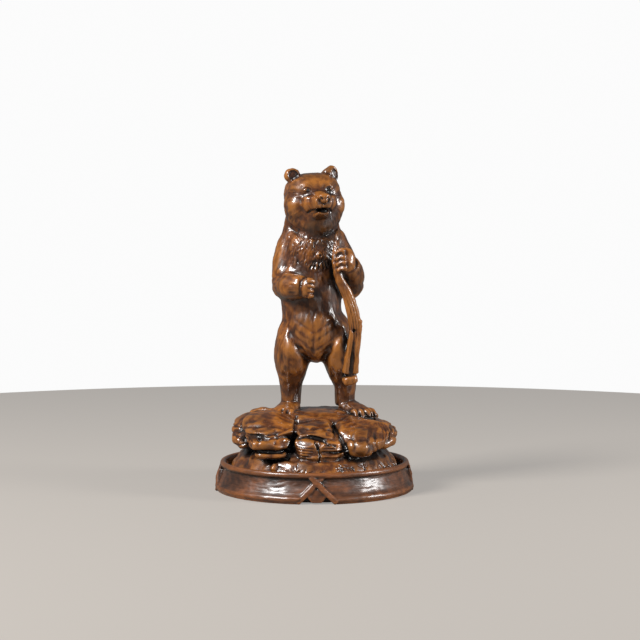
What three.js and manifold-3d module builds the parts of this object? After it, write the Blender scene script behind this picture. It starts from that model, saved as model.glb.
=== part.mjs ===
// A carved, stained and polished hardwood bear. It stands upright on split rocks, turns its head a
// little to its left and leans on a crooked branch. The carving sits in a round moulded plinth whose
// panels are edged by straps that cross at the front, the back and the two sides.
// Millimetres, +Z up. The bear faces -Y and the origin is the centre of the plinth's underside.
import * as THREE from "three";
import { mergeVertices } from "three/addons/utils/BufferGeometryUtils.js";
import Module from "manifold-3d";

const wasm = await Module();
wasm.setup();

// ---- Driving dimensions, mm ----
const plinthRadius = 95; // at the lower band, the widest place of all
const bandHeight = 8;
const rimRadius = 90; // outside of the rolled rim
const rimTop = 28;
const rimWall = 5.5;
const trayFloor = 18;
const trayRadius = rimRadius - rimWall;
const fitGap = 0.3; // between the carving and the plinth that it stands in

const moundRadius = 79.5;
const groundLevel = 75; // the soles of the feet
const crotchLevel = 121;
const waistLevel = 168;
const elbowLevel = 195;
const shoulderLevel = 236;
const neckLevel = 252;
const headLevel = 274;

const hipHalfWidth = 30.5;
const waistHalfWidth = 28.3;
const chestHalfWidth = 31;
const neckHalfWidth = 25.8;
const headHalfWidth = 28.6;
const bodyLean = -3; // the trunk stands this far to the bear's right of the plinth's centre
const headTurn = THREE.MathUtils.degToRad(13);
const headLift = THREE.MathUtils.degToRad(1);
const headRoll = THREE.MathUtils.degToRad(-3);

// ---- Solids ----

/** A closed three.js geometry as a solid that can be joined and cut. */
function solidOf(geometry) {
  const bare = geometry.clone();
  bare.deleteAttribute("normal");
  bare.deleteAttribute("uv");
  const merged = mergeVertices(bare, 1e-4);
  return new wasm.Manifold(
    new wasm.Mesh({
      numProp: 3,
      vertProperties: new Float32Array(merged.attributes.position.array),
      triVerts: new Uint32Array(merged.index.array),
    }),
  );
}

function joined(solids) {
  return solids.reduce((whole, solid) => whole.add(solid));
}

/** A solid as a named mesh with its own stained-wood material. */
function pieceOf(solid, name, colour, roughness) {
  const { vertProperties, triVerts } = solid.getMesh();
  const geometry = new THREE.BufferGeometry();
  geometry.setAttribute("position", new THREE.BufferAttribute(vertProperties, 3));
  geometry.setIndex(new THREE.BufferAttribute(triVerts, 1));
  geometry.computeVertexNormals();
  const material = new THREE.MeshStandardMaterial({ color: colour, roughness, metalness: 0 });
  const mesh = new THREE.Mesh(geometry, material);
  mesh.name = name;
  return mesh;
}

/** Moves every vertex of a geometry to the place that a function gives for it. */
function reshape(geometry, place) {
  const positions = geometry.attributes.position;
  const vertex = new THREE.Vector3();
  for (let i = 0; i < positions.count; i += 1) {
    vertex.fromBufferAttribute(positions, i);
    const moved = place(vertex);
    positions.setXYZ(i, moved.x, moved.y, moved.z);
  }
  return geometry;
}

/**
 * A round-ended limb: a capsule bent along stations of [x, y, z, half width, half depth].
 * The depth is measured along `facing`, and the width across it.
 */
function limb(stations, { around = 10, ends = 2, facing = [0, -1, 0] } = {}) {
  const route = new THREE.CatmullRomCurve3(stations.map(([x, y, z]) => new THREE.Vector3(x, y, z)));
  const sizes = stations.map(([, , , wide, deep]) => new THREE.Vector3(wide, deep, 0));
  const girth = new THREE.CatmullRomCurve3(sizes);
  const towards = new THREE.Vector3(...facing);
  const capsule = new THREE.CapsuleGeometry(1, 1, ends, around, stations.length - 1);
  return reshape(capsule, (vertex) => {
    const along = THREE.MathUtils.clamp(vertex.y + 0.5, 0, 1);
    const past = vertex.y - (along - 0.5);
    const centre = route.getPoint(along);
    const heading = route.getTangent(along);
    const size = girth.getPoint(along);
    const side = new THREE.Vector3().crossVectors(heading, towards).normalize();
    const front = new THREE.Vector3().crossVectors(side, heading);
    return centre
      .addScaledVector(side, vertex.x * size.x)
      .addScaledVector(front, vertex.z * size.y)
      .addScaledVector(heading, past * Math.min(size.x, size.y));
  });
}

/** A rounded lump, turned about X, Y and Z. boxiness 1 is an ellipsoid, and smaller values are squarer. */
function lump(centre, half, { around = 12, rings = 6, boxiness = 1, turn = [0, 0, 0] } = {}) {
  const square = (value) => Math.sign(value) * Math.abs(value) ** boxiness;
  const ball = new THREE.SphereGeometry(1, around, rings).rotateX(Math.PI / 2);
  const size = new THREE.Vector3(...half);
  reshape(ball, (v) => new THREE.Vector3(square(v.x), square(v.y), square(v.z)).multiply(size));
  return ball.rotateX(turn[0]).rotateY(turn[1]).rotateZ(turn[2]).translate(...centre);
}

// ---- The bear ----

function trunk() {
  return [
    limb(
      [
        [bodyLean + 4, 3, crotchLevel + 24, hipHalfWidth - 3.5, 26],
        [bodyLean + 1.5, 3, crotchLevel + 35, hipHalfWidth, 29],
        [bodyLean + 0.4, 0, waistLevel - 2, waistHalfWidth, 27],
        [bodyLean - 0.4, 0, waistLevel + 16, waistHalfWidth + 0.7, 27],
        [bodyLean, 3, shoulderLevel - 28, chestHalfWidth, 29],
        [bodyLean, 6, shoulderLevel - 10, chestHalfWidth, 29],
        [bodyLean, 8, shoulderLevel + 4, neckHalfWidth + 2.7, 25],
        [bodyLean, 7, neckLevel + 2, neckHalfWidth, 21],
        [bodyLean + 1, 5, headLevel, neckHalfWidth - 4.8, 18],
      ],
      { around: 14 },
    ),
    lump([bodyLean + 2, -11, waistLevel - 14], [25, 19, 31]), // belly
    lump([bodyLean + 5, -4, crotchLevel + 15], [13, 22, 16]),
    lump([bodyLean + 1, -7, shoulderLevel - 9], [25, 19, 26], { boxiness: 0.85 }), // bib
    lump([bodyLean - 9, 16, crotchLevel + 24], [17, 17, 22]), // rump
    lump([bodyLean + 15, 16, crotchLevel + 24], [17, 17, 22]),
    lump([bodyLean, 21, shoulderLevel - 12], [28, 12, 22]), // shoulder blades
  ];
}

/** One curled toe or finger with its claw; `root` and `tip` are its two ends. */
function claw(root, tip, radius) {
  const middle = root.map((value, i) => (value + tip[i]) / 2 + (i === 2 ? radius * 0.6 : 0));
  return limb(
    [
      [...root, radius, radius],
      [...middle, radius * 0.95, radius * 0.95],
      [...tip, radius * 0.6, radius * 0.6],
    ],
    { around: 5, ends: 1, facing: [0, 0, 1] },
  );
}

/** The bear's right arm, held across the belly with its paw clenched. */
function bentArm() {
  const upper = limb([
    [-19.5, 5, shoulderLevel + 3, 12.5, 14],
    [-23.5, 4, shoulderLevel - 9, 14, 16],
    [-27, 1, shoulderLevel - 24, 13.2, 15],
    [-27.4, -4, elbowLevel, 12.8, 13.5],
  ]);
  const fore = limb(
    [
      [-27.4, -6, elbowLevel - 1, 13, 12.5],
      [-22, -24, elbowLevel - 2, 12, 12.3],
      [-14.5, -34, elbowLevel - 2, 10, 11.6],
      [-9, -38, elbowLevel - 2.5, 8.5, 10.3],
    ],
    { facing: [0, 0, 1] },
  );
  const palm = lump([-7, -40, elbowLevel - 3], [6.4, 7, 9.4]);
  const fingers = [0, 1, 2, 3].map((i) => {
    const height = elbowLevel + 3.6 - i * 4.4;
    return claw([-6.3, -45.2, height], [0.2 - i * 0.5, -43 + i * 0.6, height - 1.4], 2.9);
  });
  return [upper, fore, palm, ...fingers];
}

/** The bear's left arm, whose paw is wrapped round the branch. */
function grippingArm() {
  const upper = limb([
    [14.5, 5, shoulderLevel + 5, 13, 14],
    [20.5, 4, shoulderLevel - 9, 14, 15],
    [28, 2, shoulderLevel - 24, 13.6, 15],
    [33.2, -2, elbowLevel, 13.4, 13.5],
  ]);
  const fore = limb(
    [
      [33.2, -5, elbowLevel + 1, 13.4, 12.5],
      [34.6, -17, elbowLevel + 9, 12.3, 12.5],
      [31, -31, elbowLevel + 19, 11, 11],
    ],
    { facing: [1, 0, 0] },
  );
  const palm = lump([29, -36, elbowLevel + 22.5], [9.2, 8.5, 11.6]);
  const fingers = [0, 1, 2, 3].map((i) => {
    const height = elbowLevel + 31 - i * 5.2;
    return claw([28 + i * 0.6, -42.6, height], [19.2 + i * 0.7, -41, height - 2.6], 2.9);
  });
  return [upper, fore, palm, ...fingers];
}

function leg(hip, knee, ankle) {
  return limb([
    [hip, 2, crotchLevel + 30, 17.5, 24],
    [(hip + 2 * knee) / 3 - 0.5, 0, crotchLevel + 12, 18, 25],
    [knee, -1, crotchLevel, 16.8, 21],
    [knee + (ankle - knee) * 0.3, 1, crotchLevel - 10, 14.2, 16.5],
    [ankle, 4, crotchLevel - 22, 11.2, 13.5],
    [ankle, 6, groundLevel + 11, 10.6, 12.5],
    [ankle, 6, groundLevel + 4, 11.2, 12.5],
  ]);
}

/** A flat foot, turned out from the heel, with five toes that droop over the edge of the rock. */
function foot(heel, turnedOut, length) {
  const out = THREE.MathUtils.degToRad(turnedOut);
  const ahead = (distance, across, height) => [
    heel[0] + Math.sin(out) * distance + Math.cos(out) * across,
    heel[1] - Math.cos(out) * distance + Math.sin(out) * across,
    groundLevel + height,
  ];
  const sole = limb(
    [
      [...ahead(0, 0, 4), 10.5, 7],
      [...ahead(length * 0.45, 0, 2), 12, 7],
      [...ahead(length * 0.8, 0, -1.5), 13, 5],
    ],
    { facing: [0, 0, 1] },
  );
  const toes = [-2, -1, 0, 1, 2].map((i) => {
    const root = ahead(length * 0.8 - Math.abs(i) * 1.6, i * 5, -0.4);
    const tip = ahead(length * 1.12 - Math.abs(i) * 2.5, i * 5.8, -5.2);
    return claw(root, tip, 2.7);
  });
  return [sole, ...toes];
}

/** The head is shaped facing straight ahead round its own centre, and then turned and raised. */
function head() {
  const parts = [
    lump([0, 5, 1.5], [headHalfWidth - 2.6, 27, 24.5], { boxiness: 0.75 }), // skull
    lump([0, 0, -5], [headHalfWidth, 22, 29.5], { around: 14, rings: 7 }), // cheeks
    lump([0, -7, -16], [21.5, 19.5, 19.5]), // throat
    lump([0, -44.5, 0.6], [4.4, 3.2, 3.2], { around: 8, rings: 5 }), // nose leather
    limb(
      [
        [0, -10, -3.5, 14, 14.5],
        [0, -22, -3.6, 11.2, 12],
        [0, -33, -3.4, 9, 8.8],
        [0, -40.5, -3.2, 7.2, 6.6],
      ],
      { facing: [0, 0, 1] },
    ), // muzzle
    limb(
      [
        [0, -10, -18, 13, 10],
        [0, -26, -16.5, 9, 5],
        [0, -38, -14.6, 6.2, 2.8],
      ],
      { facing: [0, 0, 1] },
    ), // lower jaw
  ];
  for (const side of [-1, 1]) {
    parts.push(lump([side * 10.5, -14, 14], [9, 9, 6], { turn: [0, side * 0.3, 0] })); // brow
  }
  return joined([...parts.map(solidOf), ear(-1), ear(1)]);
}

/** A cupped ear. The one on the bear's left is the taller and more pointed of the two. */
function ear(side) {
  const height = side < 0 ? 7.2 : 7.8;
  const at = [side * 19.4, 1, 24];
  const turn = side * 0.35;
  const shell = lump(at, [7.6, 5, height], { turn: [0, 0, turn] });
  const mouth = [at[0] + Math.sin(turn) * 5, at[1] - Math.cos(turn) * 5, at[2] + 0.6];
  const cup = lump(mouth, [4.6, 3.6, height - 3], { around: 8, turn: [0, 0, turn] });
  return solidOf(shell).subtract(solidOf(cup));
}

/** The crooked branch: a thin stem in the paw, a thicker bend, and a forked foot bound by a knot. */
function branch() {
  const stem = limb(
    [
      [21, -24, shoulderLevel + 7, 2.6, 4],
      [20.4, -29, shoulderLevel - 8, 3.2, 4],
      [20.3, -34, elbowLevel + 19, 4, 4.2],
      [24, -34, elbowLevel + 4, 4.4, 4.4],
      [30.8, -32, elbowLevel - 10, 5.3, 4.8],
      [35.6, -30, elbowLevel - 26, 5.9, 5],
      [38.6, -27, elbowLevel - 41, 6.3, 5],
    ],
    { around: 10 },
  );
  const prongs = [
    [
      [36.5, -27, elbowLevel - 43, 4, 5],
      [32.6, -24, elbowLevel - 63, 3.2, 4.6],
      [29.5, -20, elbowLevel - 83, 3.4, 4.6],
    ],
    [
      [40.5, -27, elbowLevel - 41, 4, 4.6],
      [39.4, -24, elbowLevel - 63, 3, 4.4],
      [38, -19, elbowLevel - 83, 3.2, 4.6],
    ],
  ].map((stations) => limb(stations, { around: 8 }));
  const knot = lump([33.6, -18, elbowLevel - 91], [7.4, 6.6, 5.4], { around: 10, rings: 5, boxiness: 0.7 });
  const stub = limb(
    [
      [39, -28, elbowLevel - 39, 3.6, 3.6],
      [43, -30, elbowLevel - 33, 2, 2.4],
    ],
    { around: 8 },
  );
  return [stem, ...prongs, knot, stub];
}

// ---- The ground that the bear stands on ----

/** The low dome under the rocks, turned round, whose foot stands in the plinth's tray. */
function mound() {
  const bottom = trayFloor + fitGap;
  const outline = [
    [0, bottom],
    [moundRadius - 1, bottom],
    [moundRadius, bottom + 4],
    [moundRadius - 1, bottom + 11],
    [moundRadius - 4.5, bottom + 18],
    [moundRadius - 14, bottom + 26],
    [moundRadius - 26, bottom + 38],
    [0, bottom + 40],
  ];
  const profile = outline.map(([radius, height]) => new THREE.Vector2(radius, height));
  return new THREE.LatheGeometry(profile, 24).rotateX(Math.PI / 2);
}

/** Split boulders in a ring round a flat slab, each a stack of ledges that overhang the mound. */
function rocks() {
  const slabTop = groundLevel + 0.5;
  const boulders = [
    [[1, 2, slabTop - 22], [58, 44, 22], [0, 0, 0]],
    // under the bear's right foot
    [[-41, -36, 60], [25, 29, 11], [0.34, -0.12, 0.3]],
    [[-41, -56, 49], [20, 13, 8], [0.1, 0, 0.22]],
    [[-61, -8, 61.5], [18.5, 22, 10], [0.1, -0.48, 0.15]],
    [[-62, -24, 50], [14, 18, 10], [0, -0.25, 0.45]],
    [[-56, 14, 56], [21, 22, 12], [0, -0.3, -0.1]],
    // the split slabs in the middle of the front
    [[-2, -40, 60], [19, 19, 8], [0.27, 0.04, -0.05]],
    [[-7, -60, 46], [12, 13, 8.6], [0.22, 0.1, -0.12]],
    [[16, -58, 44], [16, 14, 8], [0.15, 0.1, 0.2]],
    // under the bear's left foot
    [[43, -37, 56.5], [27, 28, 11], [0.32, 0.12, -0.3]],
    [[41, -56, 46.5], [14, 13, 9.6], [0.1, 0, -0.2]],
    [[61, -8, 56.5], [17.5, 24, 10], [0.1, 0.26, -0.1]],
    [[60, -26, 50], [14, 16, 9], [0, 0.15, -0.5]],
    [[52, 14, 54], [24, 22, 12], [0, 0.18, 0.2]],
    // behind
    [[-34, 40, 56], [29, 26, 13], [-0.28, 0, -0.6]],
    [[31, 42, 55], [30, 25, 13], [-0.28, 0, 0.5]],
    [[-2, 54, 51], [22, 20, 11], [-0.3, 0, 0]],
  ];
  return boulders.map(([centre, half, turn]) =>
    lump(centre, half, { around: 10, rings: 5, boxiness: 0.68, turn }),
  );
}

// ---- The plinth ----

/** How far the plinth's panel face stands from its centre at a height. */
function panelRadius(height) {
  const rise = (height - bandHeight) / (rimTop - 4 - bandHeight);
  return THREE.MathUtils.lerp(plinthRadius - 3, rimRadius - 3.5, THREE.MathUtils.clamp(rise, 0, 1));
}

function turnedPlinth() {
  const outline = [[0, 0], [plinthRadius - 1.5, 0]];
  for (let i = 0; i <= 2; i += 1) {
    const angle = THREE.MathUtils.lerp(-0.9, 0.9, i / 2);
    const height = bandHeight * (0.5 + Math.sin(angle) * 0.4);
    outline.push([plinthRadius - 3 + Math.cos(angle) * 3, height]);
  }
  outline.push([panelRadius(bandHeight + 1), bandHeight + 1]);
  outline.push([panelRadius(rimTop - 6), rimTop - 6]);
  for (let i = 0; i <= 4; i += 1) {
    const angle = THREE.MathUtils.lerp(-1.1, Math.PI - 0.2, i / 4);
    const roll = rimWall / 2;
    outline.push([rimRadius - roll + Math.cos(angle) * roll, rimTop - roll + Math.sin(angle) * roll]);
  }
  outline.push([trayRadius, trayFloor], [0, trayFloor]);
  const profile = outline.map(([radius, height]) => new THREE.Vector2(radius, height));
  return new THREE.LatheGeometry(profile, 36).rotateX(Math.PI / 2);
}

/** Wraps a flat block of [along, height, proud] round the plinth's face, centred on an angle. */
function wrapped(geometry, angle) {
  return reshape(geometry, (vertex) => {
    const radius = panelRadius(vertex.y) + vertex.z;
    const turn = angle + vertex.x / plinthRadius;
    return new THREE.Vector3(Math.cos(turn) * radius, Math.sin(turn) * radius, vertex.y);
  });
}

/** The place where two panels meet: a deep notch below crossed straps, with a six-sided stud in it. */
function crossing(plinth, angle) {
  const footSpread = 18;
  const topSpread = 6;
  const strapWidth = 5;
  const notch = new THREE.Shape([
    new THREE.Vector2(-footSpread, -1),
    new THREE.Vector2(footSpread, -1),
    new THREE.Vector2(footSpread, 3),
    new THREE.Vector2(0, rimTop - 8),
    new THREE.Vector2(-footSpread, 3),
  ]);
  const notchDepth = 9;
  const opening = new THREE.ExtrudeGeometry(notch, { depth: notchDepth + 6, bevelEnabled: false });
  opening.translate(0, 0, -notchDepth);
  let whole = plinth.subtract(solidOf(wrapped(opening, angle)));

  const stud = new THREE.CylinderGeometry(9.6, 10.4, notchDepth + 1, 6);
  stud.rotateX(Math.PI / 2).rotateZ(Math.PI / 6).scale(1, 0.72, 1).translate(0, 7.3, -notchDepth / 2);
  whole = whole.add(solidOf(wrapped(stud, angle)));

  for (const side of [-1, 1]) {
    const rise = rimTop - 5;
    const lean = Math.atan2(footSpread + topSpread, rise);
    const length = Math.hypot(footSpread + topSpread, rise);
    const strap = new THREE.BoxGeometry(strapWidth, length, 7, 1, 2, 1);
    strap.rotateZ(-side * lean);
    strap.translate(side * (topSpread - footSpread) * 0.5, rise / 2 + 1.5, side < 0 ? -0.6 : -1.1);
    whole = whole.add(solidOf(wrapped(strap, angle)));
  }
  return whole;
}

function plinth() {
  const firstCrossing = THREE.MathUtils.degToRad(-88.5);
  let body = solidOf(turnedPlinth());
  for (let i = 0; i < 4; i += 1) {
    body = crossing(body, firstCrossing + (i * Math.PI) / 2);
  }
  const standingSlab = new THREE.BoxGeometry(plinthRadius * 3, plinthRadius * 3, rimTop);
  const belowGround = solidOf(standingSlab.translate(0, 0, -rimTop / 2));
  return body.subtract(belowGround);
}

// ---- The whole ----

function carving() {
  const aim = new THREE.Euler(-headLift, headRoll, headTurn, "ZYX");
  const turnedHead = new THREE.Matrix4().makeRotationFromEuler(aim);
  turnedHead.setPosition(bodyLean + 2.2, -2, headLevel);
  const bear = [
    ...trunk(),
    ...bentArm(),
    ...grippingArm(),
    leg(-16.4, -21.5, -22.6),
    leg(17.5, 25.5, 29),
    ...foot([-22, 5], -28, 26),
    ...foot([30, 5], 42, 30),
    ...branch(),
    mound(),
    ...rocks(),
  ].map(solidOf);
  const raisedHead = head().transform(turnedHead.elements);
  return joined([...bear, raisedHead]);
}

const whole = new THREE.Group();
whole.add(pieceOf(carving(), "bear_on_rocks", "#6b3a1a", 0.35));
whole.add(pieceOf(plinth(), "plinth", "#5c3420", 0.4));

export default whole;
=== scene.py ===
"""A carved, stained and polished hardwood bear on split rocks, standing in a round moulded plinth.

The carving and the plinth are modelled in millimetres and brought to metres at the end. Each is a
union of closed primitives, remeshed to one skin, and then cut with gouge strokes that move its
vertices. The bear faces -Y, and +X is the bear's own left.
"""

import math

import bmesh
import bpy
import numpy as np
from mathutils import Euler, Matrix, Vector
from mathutils.bvhtree import BVHTree


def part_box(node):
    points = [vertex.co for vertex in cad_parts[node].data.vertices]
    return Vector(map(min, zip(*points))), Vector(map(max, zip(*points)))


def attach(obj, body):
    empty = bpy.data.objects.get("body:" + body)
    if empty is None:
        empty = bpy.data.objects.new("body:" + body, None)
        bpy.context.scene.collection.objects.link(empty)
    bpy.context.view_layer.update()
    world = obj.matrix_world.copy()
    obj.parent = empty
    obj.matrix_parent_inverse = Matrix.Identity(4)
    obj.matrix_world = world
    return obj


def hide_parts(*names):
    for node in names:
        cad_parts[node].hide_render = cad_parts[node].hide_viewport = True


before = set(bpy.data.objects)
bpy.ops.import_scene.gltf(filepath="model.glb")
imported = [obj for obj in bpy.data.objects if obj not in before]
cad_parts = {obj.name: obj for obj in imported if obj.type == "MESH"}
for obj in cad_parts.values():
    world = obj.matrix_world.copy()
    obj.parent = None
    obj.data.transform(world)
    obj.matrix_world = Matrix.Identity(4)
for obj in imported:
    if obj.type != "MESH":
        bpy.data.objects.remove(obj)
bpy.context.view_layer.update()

MM = 0.001

# ---- Sizes, mm, from the frame ----
plinth_low, plinth_high = (np.array(corner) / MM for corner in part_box("plinth"))
carving_low, carving_high = (np.array(corner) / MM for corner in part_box("bear_on_rocks"))
NOTCHED_AWAY = 1.3  # how much of the band's radius the notches take where it is widest
PLINTH_RADIUS = (plinth_high[0] - plinth_low[0]) / 2 + NOTCHED_AWAY
RIM_TOP = plinth_high[2]
MOUND_FOOT = carving_low[2]
EAR_TIP = carving_high[2]

BAND_HEIGHT = 8.0
RIM_RADIUS = PLINTH_RADIUS - 5.0
RIM_WALL = 5.5
CROSSING_ANGLES = [math.radians(-88.5) + i * math.pi / 2 for i in range(4)]
STRAP_WIDTH = 5.2
STRAP_DEPTH = 7
STRAP_SPREAD = 18  # from a crossing's middle line to a strap's foot
STRAP_TOP_SPREAD = 6  # how far past the middle line its top ends
NOTCH_DEPTH = 9
TRAY_FLOOR = MOUND_FOOT - 0.3  # the carving stands just clear of the tray
MOUND_RADIUS = RIM_RADIUS - RIM_WALL - 5.0
ROCK_RADIUS = 70.0  # at which the sides of the rocks are unrolled for carving

GROUND = EAR_TIP - 231.6  # the soles of the feet
CROTCH = GROUND + 46.0
WAIST = GROUND + 93.0
ELBOW = GROUND + 120.0
SHOULDER = GROUND + 161.0
NECK = GROUND + 177.0
HEAD = GROUND + 199.0
LEAN = -3.0  # the trunk stands this far to the bear's right
FOREARM_REACH = 15.0  # how far the hair of a forearm spreads from the line of its bone
HEAD_PLACE = Matrix.Translation((LEAN + 2.2, -2.0, HEAD)) @ Euler(
    (math.radians(-1), math.radians(-3), math.radians(13.5))
).to_matrix().to_4x4()

# ---- How finely the skins are made ----
SOFT_VOXEL = 1.1
FINE_VOXEL = 0.64
PLINTH_VOXEL = 0.72
CARVING_TRIANGLES = 194_000
PLINTH_TRIANGLES = 120_000
# the reach and the rays of the occlusion that is painted into the colour as shade, and as stain in the
# hollows
SHADE_REACH = 34  # mm, how far off a wall still shuts a place in
SHADE_RAYS = 12
GOLDEN_ANGLE = 2.399963


# ---- Modelling tools ----


def curve_at(stations, along):
    """The values at a share of the way along a smooth curve through the stations."""
    last = len(stations) - 1
    place = min(max(along, 0.0), 1.0) * last
    i = min(int(place), last - 1)
    t = place - i
    start, end = stations[i], stations[i + 1]
    before = stations[i - 1] if i > 0 else 2 * start - end
    after = stations[i + 2] if i + 2 <= last else 2 * end - start
    return 0.5 * (
        2 * start
        + (end - before) * t
        + (2 * before - 5 * start + 4 * end - after) * t**2
        + (3 * start - before - 3 * end + after) * t**3
    )


def limb(bm, stations, facing=(0, -1, 0), around=26, per_span=7):
    """A round-ended limb along stations of x, y, z, half width and half depth."""
    stations = np.array(stations, float)
    rings = (len(stations) - 1) * per_span + 10
    cap = 5 / rings
    ball = bmesh.ops.create_uvsphere(bm, u_segments=around, v_segments=rings, radius=1.0)
    towards = Vector(facing)
    for vert in ball["verts"]:
        share = math.acos(max(-1.0, min(1.0, -vert.co.z))) / math.pi
        turn = math.atan2(vert.co.y, vert.co.x)
        along = (share - cap) / (1 - 2 * cap)
        swell, past = 1.0, 0.0
        if along < 0:
            swell, past = math.sin(share / cap * math.pi / 2), -math.cos(share / cap * math.pi / 2)
        elif along > 1:
            left = (1 - share) / cap * math.pi / 2
            swell, past = math.sin(left), math.cos(left)
        here = curve_at(stations, along)
        ahead, behind = (curve_at(stations, along + step)[:3] for step in (0.01, -0.01))
        heading = Vector(ahead - behind).normalized()
        side = heading.cross(towards).normalized()
        front = heading.cross(side)
        wide, deep = here[3], here[4]
        vert.co = (
            Vector(here[:3])
            + side * (math.cos(turn) * swell * wide)
            + front * (math.sin(turn) * swell * deep)
            + heading * (past * min(wide, deep))
        )


def lump(bm, centre, half, boxiness=1.0, turn=(0, 0, 0), detail=4, chips=()):
    """A rounded lump: boxiness 1 is an ellipsoid, and smaller values are squarer.

    Each chip is a direction and a share of the lump's reach, past which it is cut flat.
    """
    ball = bmesh.ops.create_icosphere(bm, subdivisions=detail, radius=1.0)
    turned = Euler(turn).to_matrix()
    for vert in ball["verts"]:
        squared = Vector([math.copysign(abs(c) ** boxiness, c) for c in vert.co])
        for outward, share in chips:
            squared -= outward * max(0.0, squared.dot(outward) - share)
        vert.co = turned @ Vector([c * h for c, h in zip(squared, half)]) + Vector(centre)


def turned_solid(bm, outline, steps=180):
    """A solid turned round Z from an outline of radius and height, closed on the axis at both ends."""
    ends = [(0, outline[0][1]), *outline, (0, outline[-1][1])]
    verts = [bm.verts.new((radius, 0, height)) for radius, height in ends]
    edges = [bm.edges.new(pair) for pair in zip(verts, verts[1:])]
    bmesh.ops.spin(bm, geom=verts + edges, cent=(0, 0, 0), axis=(0, 0, 1), angle=math.tau,
                   steps=steps, use_merge=True)
    bmesh.ops.remove_doubles(bm, verts=bm.verts, dist=1e-4)
    bmesh.ops.recalc_face_normals(bm, faces=bm.faces)


def placed(bm, own, matrix):
    """Adds a bmesh that was shaped in a frame of its own, at its place."""
    bmesh.ops.transform(own, matrix=matrix, verts=own.verts)
    mesh = bpy.data.meshes.new("placed")
    own.to_mesh(mesh)
    own.free()
    bm.from_mesh(mesh)
    bpy.data.meshes.remove(mesh)


def linked(name, data):
    """An object in the scene, made of a mesh, a lamp or a camera."""
    made = bpy.data.objects.new(name, data)
    bpy.context.scene.collection.objects.link(made)
    return made


def mesh_object(name, bm):
    """An object made of a bmesh, which is used up."""
    mesh = bpy.data.meshes.new(name)
    bm.to_mesh(mesh)
    bm.free()
    return linked(name, mesh)


def modified(piece, kind, **settings):
    """Adds a modifier and applies it at once."""
    modifier = piece.modifiers.new(kind, kind)
    for name, value in settings.items():
        setattr(modifier, name, value)
    evaluated = piece.evaluated_get(bpy.context.evaluated_depsgraph_get())
    mesh = bpy.data.meshes.new_from_object(evaluated)
    piece.modifiers.clear()
    old, piece.data = piece.data, mesh
    mesh.name = old.name
    bpy.data.meshes.remove(old)


def outermost(piece):
    """Drops every shell of a mesh but the largest, such as the walls of a gap sealed inside."""
    count = len(piece.data.vertices)
    pairs = np.empty(len(piece.data.edges) * 2, np.int32)
    piece.data.edges.foreach_get("vertices", pairs)
    first, second = pairs.reshape(-1, 2).T
    label = np.arange(count)
    while True:
        least = np.minimum(label[first], label[second])
        new = label.copy()
        np.minimum.at(new, first, least)
        np.minimum.at(new, second, least)
        new = new[new]
        if (new == label).all():
            break
        label = new
    largest = np.bincount(label).argmax()
    bm = bmesh.new()
    bm.from_mesh(piece.data)
    inner = [vert for vert, shell in zip(bm.verts, label) if shell != largest]
    bmesh.ops.delete(bm, geom=inner, context="VERTS")
    bm.to_mesh(piece.data)
    bm.free()


def skin(name, bm, voxel, smooth):
    """One closed skin round everything in a bmesh."""
    made = mesh_object(name, bm)
    modified(made, "REMESH", mode="VOXEL", voxel_size=voxel)
    outermost(made)
    modified(made, "SMOOTH", factor=0.5, iterations=smooth)
    return made


def lightened(piece, most):
    """Brings a piece under a count of triangles, where its surface is flattest first."""
    triangles = sum(len(face.vertices) - 2 for face in piece.data.polygons)
    if triangles > most:
        modified(piece, "DECIMATE", ratio=most / triangles)


# ---- Carving tools ----


def read(items, name):
    """A vector for each item of a mesh, as rows."""
    values = np.empty(len(items) * 3, np.float32)
    items.foreach_get(name, values)
    return values.reshape(-1, 3).astype(float)


class Surface:
    """The skin of a piece while it is carved."""

    def __init__(self, piece):
        self.mesh = piece.data
        self.at = read(self.mesh.vertices, "co")
        pairs = np.empty(len(self.mesh.edges) * 2, np.int32)
        self.mesh.edges.foreach_get("vertices", pairs)
        pairs = [pairs.reshape(-1, 2)]
        quads = [face.vertices[:] for face in self.mesh.polygons if len(face.vertices) == 4]
        if quads:
            quads = np.array(quads)
            pairs += [quads[:, [0, 2]], quads[:, [1, 3]]]
        pairs = np.concatenate(pairs)
        self.near = np.concatenate([pairs[:, 0], pairs[:, 1]])
        self.far = np.concatenate([pairs[:, 1], pairs[:, 0]])
        self.feel()

    def feel(self):
        """Takes the normals of the surface as it now stands."""
        self.mesh.vertices.foreach_set("co", self.at.ravel().astype(np.float32))
        self.mesh.update()
        self.out = read(self.mesh.vertex_normals, "vector")

    def raised(self, heights):
        self.at += self.out * heights[:, None]
        self.feel()

    def spread(self, values, weights=None, passes=1, keep=0.0):
        """Averages values with those of the neighbours, again and again."""
        weights = np.ones(len(self.near)) if weights is None else weights
        total = np.bincount(self.near, weights, len(self.at)) + 1e-9
        for _ in range(passes):
            shared = np.bincount(self.near, weights * values[self.far], len(self.at)) / total
            values = keep * values + (1 - keep) * shared
        return values

    def combed(self, lie, passes, seed, sharpness=8):
        """Random heights drawn out into strands along the lie of the hair, with a spread of 1."""
        step = self.at[self.far] - self.at[self.near]
        length = np.linalg.norm(step, axis=1) + 1e-9
        along = np.abs((step * lie[self.near]).sum(1)) / length
        heights = np.random.default_rng(seed).standard_normal(len(self.at))
        heights = self.spread(heights, along**sharpness + 1e-4, passes, keep=0.2)
        return heights / heights.std()

    def rolling(self, passes, seed):
        """Random swells the same in every direction, between -1 and 1."""
        heights = np.random.default_rng(seed).standard_normal(len(self.at))
        heights = self.spread(heights, passes=passes)
        return np.tanh(heights / heights.std())


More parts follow.
